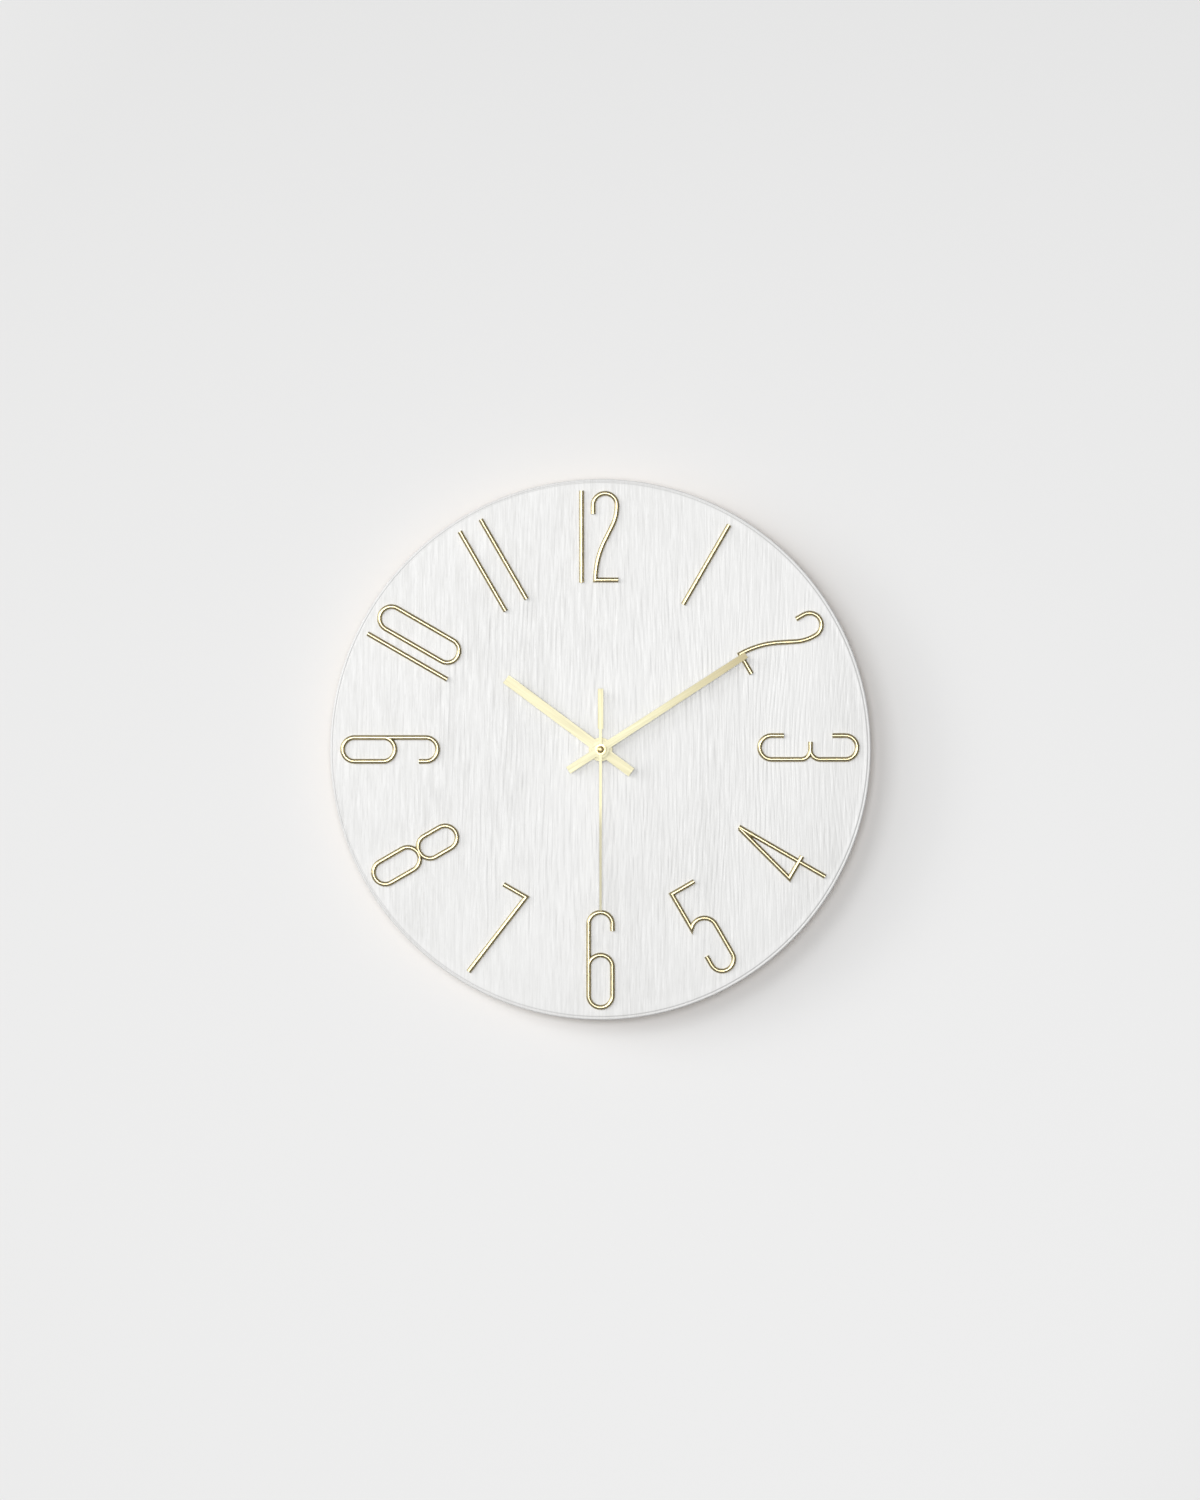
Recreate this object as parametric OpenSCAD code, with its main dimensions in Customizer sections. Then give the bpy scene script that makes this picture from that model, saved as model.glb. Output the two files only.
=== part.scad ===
// Round frameless wall clock: a film-faced fibreboard dial with raised rod numerals,
// three flat metal hands and a battery quartz movement on its back.
// Frame: the origin is on the wall, on the axis of the hands. +X is right and +Z is up for
// someone looking at the dial, and +Y points into the wall. Millimetres.
// The pieces are drawn face up, with z counted from the wall, and are stood upright at the end.

/* [Dial] */
// Diameter of the dial over its film
dial_d = 300; // [260:5:360]
// Thickness of the fibreboard
board_t = 5; // [3:0.5:9]
// Thickness of the printed and embossed film
film_t = 0.4; // [0.2:0.1:1]
// Radius of the rolled front edge
edge_r = 1.6; // [1:0.1:3]

/* [Numerals] */
// Width of the rod that the numerals are bent from
rod_w = 2.8; // [1.6:0.1:4]
// Height of the rod's centre above the face
rod_lift = 0.35; // [0.1:0.05:0.8]
// Distance from the rim to the middle of the numerals
ring_in = 32; // [30:1:50]
// Height of a straight numeral stroke
digit_h = 50.8; // [40:0.2:52]
// Centre-line radius of the numerals' round ends
loop_r = 6.6; // [5:0.1:8]

/* [Hands] */
// Reach of the hour hand
hour_l = 65.3; // [50:0.1:80]
// Width of the hour hand
hour_w = 5.4; // [4:0.1:8]
// Reach of the minute hand
minute_l = 96; // [80:0.5:125]
// Width of the minute hand at the axis
minute_w = 4.3; // [3:0.1:6]
// Width of the minute hand at its tip
minute_tip_w = 3.6; // [2:0.1:6]
// Length of the tail of the hour and minute hands
tail_l = 21.3; // [14:0.1:28]
// Reach of the second hand
second_l = 89; // [70:1:115]
// Width of the second hand's needle at the axis
needle_w = 1.6; // [1:0.1:2.5]
// Width of the second hand's counterweight
weight_w = 3; // [2:0.1:5]
// Thickness of the hour and minute hands
hand_t = 0.5; // [0.3:0.05:0.8]
// Angle of the hour hand at rest, clockwise from twelve
hour_angle = 306.7; // [0:0.1:360]
// Angle of the minute hand at rest, clockwise from twelve
minute_angle = 57; // [0:0.1:360]
// Angle of the second hand at rest, clockwise from twelve
second_angle = 180; // [0:1:360]

/* [Movement case] */
// Room for the bowed contact at each end of the cell
contact_room = 1.55; // [1.2:0.05:3]
// Gap between the cell and the front plate
cell_front_gap = 0.15; // [0.15:0.05:2]
// How far the cell sits in from the back of the case
cell_setback = 0.65; // [0.4:0.05:2]
// How far the gear room reaches below the axis
room_down = 10.6; // [10.6:0.1:14]
// Thickness of the case walls
wall_t = 1.2; // [1:0.1:2]
// Thickness of the front plate
plate_t = 1.2; // [1:0.1:2]
// Radius of the round entry of the hanging keyhole
keyhole_r = 4; // [3:0.1:5]
// Thickness of the hanging lug
lug_t = 3; // [2:0.1:5]

/* [Centre fixing] */
// Outer radius of the bushing's thread
thread_r = 4; // [3.6:0.1:5]
// Depth of the thread
thread_depth = 0.35; // [0.2:0.05:0.5]
// Distance from one thread crest to the next
thread_pitch = 0.75; // [0.5:0.05:1]
// Thickness of the rubber gasket
gasket_t = 0.8; // [0.5:0.1:2]
// Thickness of the brass washer
washer_t = 0.5; // [0.3:0.1:1]
// Thickness of the hexagonal nut
nut_t = 2; // [1.5:0.1:3]
// Least wall of the nut, under the middle of a flat
nut_wall = 1.25; // [0.8:0.05:2]

/* [Gear train] */
// Module of the rotor pinion and the intermediate wheel
rotor_module = 0.22; // [0.2:0.005:0.23]
// Module of the intermediate pinion and the second wheel
second_module = 0.25; // [0.24:0.005:0.26]
// Module of the second pinion and the third wheel
third_module = 0.21; // [0.2:0.005:0.215]
// Module of the cannon pinion, the minute wheel and the set pinion
motion_module = 0.375; // [0.36:0.005:0.38]
// Thickness of a wheel
wheel_t = 0.8; // [0.6:0.1:1]
// Backlash between teeth
backlash = 0.05; // [0.02:0.01:0.08]
// Radius of the steel shaft of the second hand
shaft_r = 0.5; // [0.4:0.05:0.6]
// Radius of the pivots of the other wheels
pivot_r = 0.35; // [0.25:0.05:0.4]

/* [Stepping motor] */
// Radius of the rotor's magnet
magnet_r = 3; // [2.5:0.1:3.2]
// Outer radius of the coil winding
winding_r = 3.2; // [2.8:0.1:3.4]
// Thickness of the stator's sheet
stator_t = 0.8; // [0.5:0.1:1]

/* [Battery] */
// Diameter of the cell
cell_d = 14.5; // [13.5:0.1:14.5]
// Length of the cell over its cap
cell_l = 50.5; // [49.2:0.1:50.5]

/* [Hidden] */
$fn = 96;

// Colours
brass = "#c9a86a";
pale_gold = "#efe3b8";
black_plastic = "#2b2b2d";
white_plastic = "#e8e6df";
steel = "#b9bcc0";

// A joint cut goes this far past the surface it opens
cut = 0.5;
// The numerals' straight rods lap over their neighbours, and their bends are thinner by the relief
rod_lap = 0.05;
bend_relief = 0.03;
// Where two rods cross, one stands this much higher
lap_lift = 0.12;
// Running clearance of a shaft in its bearing, and free clearance round a still piece
running_fit = 0.05;
free_fit = 0.25;

// The case is as deep and as wide as its cell needs
case_d = cell_setback + cell_d + cell_front_gap + plate_t;
case_w = cell_l + 2 * contact_room + 2 * wall_t;

// Levels counted from the wall, from the case out to the second hand
plate_z = case_d - plate_t;
gasket_z = case_d;
board_z = gasket_z + gasket_t;
face_z = board_z + board_t + film_t;
washer_z = face_z;
nut_z = washer_z + washer_t;
bushing_top = nut_z + nut_t + 0.6;
hour_z = bushing_top + 0.5;
minute_z = hour_z + hand_t + 1.4;
second_z = minute_z + hand_t + 1.5;
second_t = 0.3;
cap_z = second_z + second_t;

// Radii on the axis of the hands
minute_pipe_r = 1.6;
minute_bore_r = shaft_r + running_fit;
minute_tail_r = 1;
hour_bore_r = minute_pipe_r + 0.1;
hour_pipe_r = hour_bore_r + 0.8;
bushing_bore_r = hour_pipe_r + 0.1;
dial_hole_r = thread_r + free_fit;
hour_boss_r = 6.55;
minute_boss_r = 4.75;
second_boss_r = 2.5;
cap_r = 3;

ring_r = dial_d / 2 - ring_in;

// Stepping motor: the coil lies above the stator and the case closes round it
stator_z = 8;
stator_left = -22.5;
stator_right = 2.5;
stator_bottom = 9.2;
stator_top = 17.9;
core_w = 3.2;
bobbin_left = -18.6;
bobbin_right = -0.9;
bobbin_r = 2.2;
flange_r = winding_r + 0.3;
flange_t = 0.6;
core_y = stator_top + winding_r + 0.9;
core_z = stator_z + stator_t;
arm_top = core_y + 2;
coil_gap = 1.3;

// Case, with the gear room above the battery bay
inner_w = case_w - 2 * wall_t;
case_corner = 4;
room_top = core_y + flange_r + coil_gap;
room_bottom = -room_down;
bay_wall = 1.2;
bay_h = cell_d + 2 * free_fit;
bay_top = room_bottom - bay_wall;
bay_bottom = bay_top - bay_h;
case_top = room_top + wall_t;
case_bottom = bay_bottom - wall_t;
cell_y = bay_bottom + bay_h / 2;
cell_z = cell_setback + cell_d / 2;

// Tooth counts and levels of the train
rotor_teeth = 12;
pinion_teeth = 10;
intermediate_teeth = 60;
second_teeth = 60;
third_teeth = 75;
center_teeth = 80;
cannon_teeth = 12;
minute_teeth = 36;
set_teeth = 12;
hour_teeth = 40;
pressure_angle = 20;
wheel_addendum = 0.6;
pinion_addendum = 1;
wheel_dedendum = 1.25;
pinion_dedendum = 0.95;

function mesh_distance(a, b, m) = (a + b) * m / 2;
function polar(r, angle) = [r * cos(angle), r * sin(angle)];

intermediate_dir = 130;
rotor_dir = 120;
third_dir = 20;
minute_wheel_dir = 75;
set_dir = 30;
third_distance = mesh_distance(pinion_teeth, third_teeth, third_module);
center_module = 2 * third_distance / (pinion_teeth + center_teeth);
motion_distance = mesh_distance(cannon_teeth, minute_teeth, motion_module);
hour_module = 2 * motion_distance / (pinion_teeth + hour_teeth);
axis_at = [0, 0];
intermediate_at = polar(mesh_distance(pinion_teeth, second_teeth, second_module), intermediate_dir);
rotor_at = intermediate_at
    + polar(mesh_distance(rotor_teeth, intermediate_teeth, rotor_module), rotor_dir);
third_at = polar(third_distance, third_dir);
minute_wheel_at = polar(motion_distance, minute_wheel_dir);
set_at = minute_wheel_at + polar(mesh_distance(set_teeth, minute_teeth, motion_module), set_dir);

pivot_foot_z = 0.8;
boss_h = 1;
bridge_z = 10;
bridge_t = 1;
pivot_top_z = bridge_z + bridge_t - 0.1;
second_wheel_z = 3;
second_pinion_z = second_wheel_z + wheel_t + 0.6;
second_pinion_top = 7.3;
intermediate_pinion_z = 2.6;
intermediate_wheel_z = 5;
rotor_pinion_z = 4.8;
rotor_pinion_top = 6.2;
magnet_z = 7;
magnet_h = 2.6;
third_wheel_z = 6.4;
third_pinion_top = 9.4;
center_wheel_z = 8;
minute_pipe_z = 7.6;
cannon_z = 11.6;
cannon_h = 1.2;
minute_wheel_z = 11.8;
minute_pinion_h = 1.6;
hour_wheel_z = 13.2;
set_pinion_z = 11.7;
set_pinion_h = 1.2;
stud_r = 0.8;

// Posts that carry the bridge, the stator and the front plate, left and right of the axis
bridge_posts = [[-12, -6], [12.5, -7.2], [5, 20.5], [18, 8]];
stator_posts = [[-20, 12], [-1, 14]];
corner_in = 3.4;
side_in = 3.6;
plate_posts = [
    [corner_in - case_w / 2, case_top - corner_in],
    [case_w / 2 - corner_in, case_top - corner_in],
    [side_in - case_w / 2, room_bottom + 4.1],
    [case_w / 2 - side_in, room_bottom + 2.2]
];
post_r = 1.6;
plate_post_r = 1.9;
rivet_r = 0.8;
screw_r = 0.8;
screw_head_r = 1.5;
screw_head_t = 0.6;
screw_l = 5;

// Set knob and its well in the back of the case
well_r = 5.5;
well_d = 4;
knob_r = 4.75;
knob_z = 0.3;
knob_h = 3.1;
set_arbor_r = 1;

// Circuit board, against the contact on the right wall
strip_t = 0.4;
pcb_w = 10;
pcb_h = 12.2;
pcb_right = inner_w / 2 - strip_t;
pcb_left = pcb_right - pcb_w;
pcb_bottom = room_bottom + 4.4;
pcb_top = pcb_bottom + pcb_h;
pcb_z = 2;
pcb_t = 1;
board_pins = [[pcb_left + 1.6, pcb_bottom + 3.1], [pcb_right - 1.9, pcb_top - 1.4]];
board_pin_r = 0.5;

// Hanging lug
lug_wall = 6;
lug_rim = 2;
slot_r = keyhole_r / 2;
slot_l = 5;
keyhole_y = case_top + lug_rim + keyhole_r;
lug_r = keyhole_r + lug_wall;
lug_top = keyhole_y + slot_l + slot_r + lug_rim;

// ---------- Helpers ----------

// Stands a piece that was drawn face up against the wall
module upright() rotate([90, 0, 0]) children();

// Tube between two levels
module tube(outer, inner, z0, z1) {
    translate([0, 0, z0]) difference() {
        cylinder(r = outer, h = z1 - z0);
        translate([0, 0, -cut]) cylinder(r = inner, h = z1 - z0 + 2 * cut);
    }
}

// Rod between two levels
module rod(r, z0, z1) translate([0, 0, z0]) cylinder(r = r, h = z1 - z0);

// Outline of the case at an inset from its outer walls
module case_outline(inset) {
    corner = case_corner - inset;
    right = case_w / 2 - inset;
    low = case_bottom + inset;
    high = case_top - inset;
    translate([corner - right, low]) square([2 * (right - corner), high - low]);
    translate([-right, low + corner]) square([2 * right, high - low - 2 * corner]);
    for (x = [corner - right, right - corner], y = [low + corner, high - corner])
        translate([x, y]) circle(corner);
}

// ---------- Teeth ----------

function involute(a) = tan(a) * 180 / PI - a;

// Half the angle that a tooth of an n-tooth gear of module m fills at radius r
function half_tooth(n, m, r) =
    let (base = n * m / 2 * cos(pressure_angle))
    let (flank_angle = acos(min(1, base / r)))
    (PI * m / 2 - backlash) / (n * m) * 180 / PI
        + involute(pressure_angle) - involute(flank_angle);

// Angle of a tooth of gear b that meshes with gear a, whose own tooth is at phase_a
function mesh_phase(teeth_a, phase_a, dir, teeth_b) =
    dir + 180 - 360 / teeth_b * (0.5 - teeth_a * (dir - phase_a) / 360);

module gear(n, m, h, phase = 0, addendum = wheel_addendum, dedendum = wheel_dedendum) {
    root = m * (n / 2 - dedendum);
    foot = max(root, n * m / 2 * cos(pressure_angle));
    tip = m * (n / 2 + addendum);
    flank = concat(root < foot ? [root] : [], [foot, (foot + tip) / 2, tip]);
    last = len(flank) - 1;
    rotate(phase) linear_extrude(h) polygon([
        for (i = [0 : n - 1], side = [-1, 1], j = [0 : last])
            let (r = flank[side < 0 ? j : last - j])
            polar(r, 360 / n * i + side * half_tooth(n, m, r))
    ]);
}

module pinion(n, m, h, phase = 0)
    gear(n, m, h, phase, pinion_addendum, pinion_dedendum);

second_phase = 0;
intermediate_pinion_phase =
    mesh_phase(second_teeth, second_phase, intermediate_dir, pinion_teeth);
rotor_phase = mesh_phase(intermediate_teeth, 0, rotor_dir, rotor_teeth);
third_phase = mesh_phase(pinion_teeth, second_phase, third_dir, third_teeth);
center_phase = mesh_phase(pinion_teeth, 0, third_dir + 180, center_teeth);
minute_wheel_phase = mesh_phase(cannon_teeth, 0, minute_wheel_dir, minute_teeth);
set_phase = mesh_phase(minute_teeth, minute_wheel_phase, set_dir, set_teeth);
hour_phase = mesh_phase(pinion_teeth, 0, minute_wheel_dir + 180, hour_teeth);

// ---------- Numeral rods ----------
// A stroke is a starting place, a heading and a list of steps along the rod's centre line.
// Headings are counted from the digit's right, anticlockwise.

LINE = 0; // [LINE, length]
BEND = 1; // [BEND, radius, turn], a positive turn is to the left
CORNER = 2; // [CORNER, turn], a mitred joint

function after(pose, step) =
    let (h = pose[2])
    step[0] == LINE ? [pose[0] + step[1] * cos(h), pose[1] + step[1] * sin(h), h] :
    step[0] == CORNER ? [pose[0], pose[1], h + step[1]] :
    let (s = sign(step[2]) * step[1], end = h + step[2])
    [pose[0] - s * sin(h) + s * sin(end), pose[1] + s * cos(h) - s * cos(end), end];

function pose_at(start, steps, n) = n == 0 ? start : after(pose_at(start, steps, n - 1), steps[n - 1]);

// Section of the rod: round on top and flat where it is glued to the face
module rod_section(r, lift) {
    intersection() {
        translate([0, lift]) circle(r);
        translate([-rod_w, 0]) square([2 * rod_w, rod_w]);
    }
}

// What lies beyond the mitre of a corner, ahead of a rod's end or behind its start
module mitre_waste(turn, ahead) {
    reach = rod_w * (2 + tan(abs(turn) / 2));
    translate([0, 0, -cut]) rotate([0, 0, ahead ? turn / 2 : -turn / 2])
        translate([ahead ? rod_lap : -reach, -reach, 0])
            cube([reach, 2 * reach, rod_w + 2 * cut]);
}

// Straight rod, mitred where a corner comes before or after it and lapped over the bends
module rod_run(pose, l, turn_before, turn_after, lift) {
    behind = rod_w / 2 * tan(abs(turn_before) / 2) + (turn_before == 0 ? rod_lap : 0);
    ahead = rod_w / 2 * tan(abs(turn_after) / 2) + rod_lap;
    translate([pose[0], pose[1], 0]) rotate([0, 0, pose[2]]) difference() {
        translate([-behind, 0, 0]) rotate([90, 0, 90])
            linear_extrude(behind + l + ahead) rod_section(rod_w / 2, lift);
        if (turn_before != 0) mitre_waste(turn_before, false);
        if (turn_after != 0) translate([l, 0, 0]) mitre_waste(turn_after, true);
    }
}

// A bend is a hair thinner than the straight rods, so that its ends sit inside them
module rod_bend(pose, r, turn, lift) {
    side = sign(turn);
    translate([pose[0], pose[1], 0]) rotate([0, 0, pose[2]])
        translate([0, side * r, 0]) rotate([0, 0, side > 0 ? -90 : 90 + turn])
            rotate_extrude(angle = abs(turn)) translate([r, 0])
                rod_section(rod_w / 2 - bend_relief, lift);
}

function corner_at(steps, i) =
    i < 0 || i >= len(steps) ? 0 :
    steps[i][0] == CORNER ? steps[i][1] : 0;

module stroke(start, steps, lift = rod_lift) {
    for (i = [0 : len(steps) - 1]) {
        pose = pose_at(start, steps, i);
        step = steps[i];
        if (step[0] == LINE)
            rod_run(pose, step[1], corner_at(steps, i - 1), corner_at(steps, i + 1), lift);
        if (step[0] == BEND) rod_bend(pose, step[1], step[2], lift);
    }
}

// Closed loop with two straight sides, whose round ends are centred at low and high
module loop(low, high) {
    stroke([loop_r, low, 90], [
        [LINE, high - low],
        [BEND, loop_r, 180],
        [LINE, high - low],
        [BEND, loop_r, 180]
    ]);
}

// The digits are drawn about the middle of the numeral ring, with their tops towards +y

module digit_one() stroke([0, -digit_h / 2, 90], [[LINE, digit_h]]);

module digit_two() {
    top = digit_h / 2 - rod_w / 2 - loop_r;
    hook = 4.8;
    shoulder_r = 24;
    heel_r = 50;
    slant = 26.5;
    slant_l = 9.25;
    slope_h = (shoulder_r + heel_r) * sin(slant) + slant_l * cos(slant);
    slope_w = (shoulder_r + heel_r) * (1 - cos(slant)) + slant_l * sin(slant);
    neck_l = 0.6;
    foot_h = digit_h - rod_w - loop_r - slope_h - neck_l;
    base_right = 7.3;
    stroke([-loop_r, top - hook, 90], [
        [LINE, hook],
        [BEND, loop_r, -180],
        [LINE, neck_l],
        [BEND, shoulder_r, -slant],
        [LINE, slant_l],
        [BEND, heel_r, slant],
        [LINE, foot_h],
        [CORNER, 90],
        [LINE, slope_w - loop_r + base_right]
    ]);
}

module digit_three() {
    top = 17.7;
    middle = -1.6;
    bottom = -23.2;
    high_hook = 7.1;
    low_hook = 6.7;
    waist_r = 5.3;
    stub = 4.4;
    left = -7.7;
    right = left + 2 * loop_r;
    stroke([left, top - high_hook, 90], [
        [LINE, high_hook],
        [BEND, loop_r, -180],
        [LINE, top - middle - waist_r],
        [BEND, waist_r, -90],
        [LINE, stub]
    ]);
    stroke([right - waist_r - stub, middle, 0], [
        [LINE, stub],
        [BEND, waist_r, -90],
        [LINE, middle - waist_r - bottom],
        [BEND, loop_r, -180],
        [LINE, low_hook]
    ]);
}

module digit_four() {
    stem_x = 1.2;
    stem_top = 30;
    stem_l = 55;
    apex = [0.6, 29.2];
    elbow = [-9.5, -8.4];
    bar_l = 14;
    slant = atan2(elbow[1] - apex[1], elbow[0] - apex[0]);
    stroke([stem_x, stem_top, -90], [[LINE, stem_l]]);
    stroke([apex[0], apex[1], slant], [
        [LINE, norm(elbow - apex)],
        [CORNER, -slant],
        [LINE, bar_l]
    ], rod_lift + lap_lift);
}

module digit_five() {
    bar = [8.3, 28.7];
    bar_l = 14.2;
    stem_l = 21.9;
    throat = [bar[0] - bar_l, bar[1] - stem_l];
    bowl_r = 7.2;
    bowl_sweep = 133.5;
    bowl_lead = 0.7;
    side_l = 18.4;
    hook = 5.6;
    stroke([bar[0], bar[1], 180], [
        [LINE, bar_l],
        [CORNER, 90],
        [LINE, stem_l],
        [CORNER, bowl_sweep]
    ]);
    stroke([throat[0], throat[1], -90], [
        [CORNER, bowl_sweep],
        [LINE, bowl_lead],
        [BEND, bowl_r, -bowl_sweep],
        [LINE, side_l],
        [BEND, loop_r, -180],
        [LINE, hook]
    ], rod_lift - lap_lift);
}

// The six is also the nine, turned with its top to the axis
module digit_six() {
    hook_y = 21.1;
    hook = 3.7;
    loop_low = -18.4;
    loop_high = -2.6;
    stroke([loop_r, hook_y - hook, 90], [
        [LINE, hook],
        [BEND, loop_r, 180],
        [LINE, hook_y - loop_high]
    ]);
    loop(loop_low, loop_high);
}

module digit_seven() {
    bar = [-9.1, 26.4];
    bar_l = 14.3;
    toe = [-1.8, -25.2];
    elbow = bar + [bar_l, 0];
    slant = atan2(toe[1] - elbow[1], toe[0] - elbow[0]);
    stroke([bar[0], bar[1], 0], [
        [LINE, bar_l],
        [CORNER, slant],
        [LINE, norm(toe - elbow)]
    ]);
}

module digit_eight() {
    loop(-19.4, -4.9);
    loop(9.2, 18.9);
}

module digit_zero() loop(-17, 18.7);

// Puts a digit on the face at a clock angle. Its top points out, or in to the axis.
module on_ring(clock_angle, top_out, shift = [0, 0]) {
    side = top_out ? 1 : -1;
    color(brass) upright() translate([0, 0, face_z])
        rotate([0, 0, (top_out ? 0 : 180) - clock_angle])
            translate([shift[0], side * ring_r + shift[1], 0]) children();
}

// ---------- Dial ----------

// Half section of a disc whose upper edge is rolled over
module rolled_section(r, h, roll) {
    square([r - roll, h]);
    square([r, h - roll]);
    translate([r - roll, h - roll]) circle(roll);
}

module dial_board() {
    color("#a98a66") upright() translate([0, 0, board_z]) difference() {
        rotate_extrude() rolled_section(dial_d / 2 - film_t, board_t, edge_r - film_t);
        translate([0, 0, -cut]) cylinder(r = dial_hole_r, h = board_t + 2 * cut);
    }
}

module face_film() {
    color("#f1f1ef") upright() translate([0, 0, board_z]) rotate_extrude() difference() {
        rolled_section(dial_d / 2, board_t + film_t, edge_r);
        rolled_section(dial_d / 2 - film_t, board_t, edge_r - film_t);
        square([dial_hole_r, board_t + 2 * film_t]);
    }
}

module numeral_1() on_ring(30, true, [-0.5, 0]) digit_one();
module numeral_2() on_ring(60, true, [-1.8, -0.5]) digit_two();
module numeral_3() on_ring(90, true) digit_three();
module numeral_4() on_ring(120, false) digit_four();
module numeral_5() on_ring(150, false) digit_five();
module numeral_6() on_ring(180, false) digit_six();
module numeral_7() on_ring(210, false) digit_seven();
module numeral_8() on_ring(240, false, [-0.7, 0]) digit_eight();
module numeral_9() on_ring(270, false) digit_six();
module numeral_10_one() on_ring(300, true, [-8.9, 0.5]) digit_one();
module numeral_10_zero() on_ring(300, true, [4.9, 0]) digit_zero();
module numeral_11_left() on_ring(330, true, [-7.2, 0.2]) digit_one();
module numeral_11_right() on_ring(330, true, [6.2, 0.2]) digit_one();
module numeral_12_one() on_ring(0, true, [-10.5, 0]) digit_one();
module numeral_12_two() on_ring(0, true, [2.5, 0]) digit_two();

// ---------- Hands ----------

module hand(clock_angle, z, t) {
    color(pale_gold) upright() rotate([0, 0, -clock_angle])
        translate([0, 0, z]) linear_extrude(t) children();
}

module hour_hand() {
    hand(hour_angle, hour_z, hand_t) difference() {
        union() {
            circle(hour_boss_r);
            translate([-hour_w / 2, -tail_l]) square([hour_w, tail_l + hour_l]);
        }
        circle(hour_pipe_r);
    }
}

module minute_hand() {
    hand(minute_angle, minute_z, hand_t) difference() {
        union() {
            circle(minute_boss_r);
            polygon([
                [-minute_w / 2, -tail_l], [minute_w / 2, -tail_l], [minute_w / 2, 0],
                [minute_tip_w / 2, minute_l], [-minute_tip_w / 2, minute_l], [-minute_w / 2, 0]
            ]);
        }
        circle(minute_pipe_r);
    }
}

// The needle, its counterweight on a narrow neck, and the little tube that grips the shaft
module second_hand() {
    tip_w = 1.2;
    weight_near = 11.4;
    weight_far = 33.6;
    grip_l = 0.9;
    grip_r = 1.1;
    hand(second_angle, second_z, second_t) difference() {
        union() {
            circle(second_boss_r);
            polygon([
                [-needle_w / 2, -weight_near], [needle_w / 2, -weight_near], [needle_w / 2, 0],
                [tip_w / 2, second_l], [-tip_w / 2, second_l], [-needle_w / 2, 0]
            ]);
            translate([-weight_w / 2, -weight_far])
                square([weight_w, weight_far - weight_near]);
        }
        circle(shaft_r);
    }
    color(pale_gold) upright() tube(grip_r, shaft_r, second_z - grip_l, second_z);
}

// Turned button with a flat rim and a domed middle
module second_hand_cap() {
    rim_h = 0.6;
    dome_r = 2;
    dome_h = 0.8;
    ball_r = (dome_r * dome_r + dome_h * dome_h) / (2 * dome_h);
    color(brass) upright() translate([0, 0, cap_z]) {
        cylinder(r = cap_r, h = rim_h);
        translate([0, 0, rim_h]) intersection() {
            translate([0, 0, dome_h - ball_r]) sphere(ball_r);
            cylinder(r = cap_r, h = cap_r);
        }
    }
}

// ---------- Centre fixing ----------

module rubber_gasket() {
    gasket_r = dial_hole_r + 4.75;
    color("#1d1d1e") upright() tube(gasket_r, dial_hole_r, gasket_z, board_z);
}

module dial_washer() {
    washer_r = thread_r + 2.3;
    color(brass) upright() tube(washer_r, dial_hole_r, washer_z, nut_z);
}

module hex_nut() {
    corner_r = (thread_r + nut_wall) / cos(30);
    chamfer = 0.4;
    color(brass) upright() translate([0, 0, nut_z]) difference() {
        intersection() {
            cylinder(r = corner_r, h = nut_t, $fn = 6);
            rotate_extrude() polygon([
                [0, 0], [corner_r - chamfer, 0], [corner_r, chamfer],
                [corner_r, nut_t - chamfer], [corner_r - chamfer, nut_t], [0, nut_t]
            ]);
        }
        translate([0, 0, -cut]) cylinder(r = thread_r + running_fit, h = nut_t + 2 * cut);
    }
}

// Brass bushing with a flange under the front plate and a thread cut as rings
module threaded_bushing() {
    bushing_flange_r = thread_r + 1.5;
    bushing_flange_t = 0.8;
    turns = floor((bushing_top - gasket_z) / thread_pitch);
    color(brass) upright() rotate_extrude() polygon(concat(
        [
            [bushing_bore_r, plate_z - bushing_flange_t],
            [bushing_flange_r, plate_z - bushing_flange_t],
            [bushing_flange_r, plate_z],
            [thread_r, plate_z]
        ],
        [for (i = [0 : turns - 1], half = [0, 1])
            [thread_r - half * thread_depth, gasket_z + (i + half / 2) * thread_pitch]],
        [
            [thread_r - thread_depth / 2, bushing_top],
            [bushing_bore_r, bushing_top]
        ]
    ));
}

// ---------- Movement case ----------

module room_section() {
    intersection() {
        case_outline(wall_t);
        translate([-inner_w / 2, room_bottom]) square([inner_w, room_top - room_bottom]);
    }
}

module bay_section() {
    intersection() {
        case_outline(wall_t);
        translate([-inner_w / 2, bay_bottom]) square([inner_w, bay_h]);
    }
}

// Blind bearing in a short boss on the case floor
module bearing_boss(at, r) {
    boss_wall = 0.6;
    translate([at[0], at[1], wall_t]) cylinder(r = r + boss_wall, h = boss_h);
}

module bearing_hole(at, r) {
    blind = 0.2;
    translate([at[0], at[1], pivot_foot_z - blind]) cylinder(r = r + running_fit, h = case_d);
}

module keyhole() {
    translate([0, keyhole_y, -cut]) cylinder(r = keyhole_r, h = lug_t + 2 * cut);
    translate([-slot_r, keyhole_y, -cut]) cube([2 * slot_r, slot_l, lug_t + 2 * cut]);
    translate([0, keyhole_y + slot_l, -cut]) cylinder(r = slot_r, h = lug_t + 2 * cut);
}

module case_shell() {
    difference() {
        linear_extrude(case_d) case_outline(0);
        translate([0, 0, wall_t]) linear_extrude(case_d) room_section();
        translate([0, 0, -cut]) linear_extrude(case_d + 2 * cut) bay_section();
        translate([0, 0, plate_z]) linear_extrude(case_d) case_outline(wall_t);
    }
}

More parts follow.
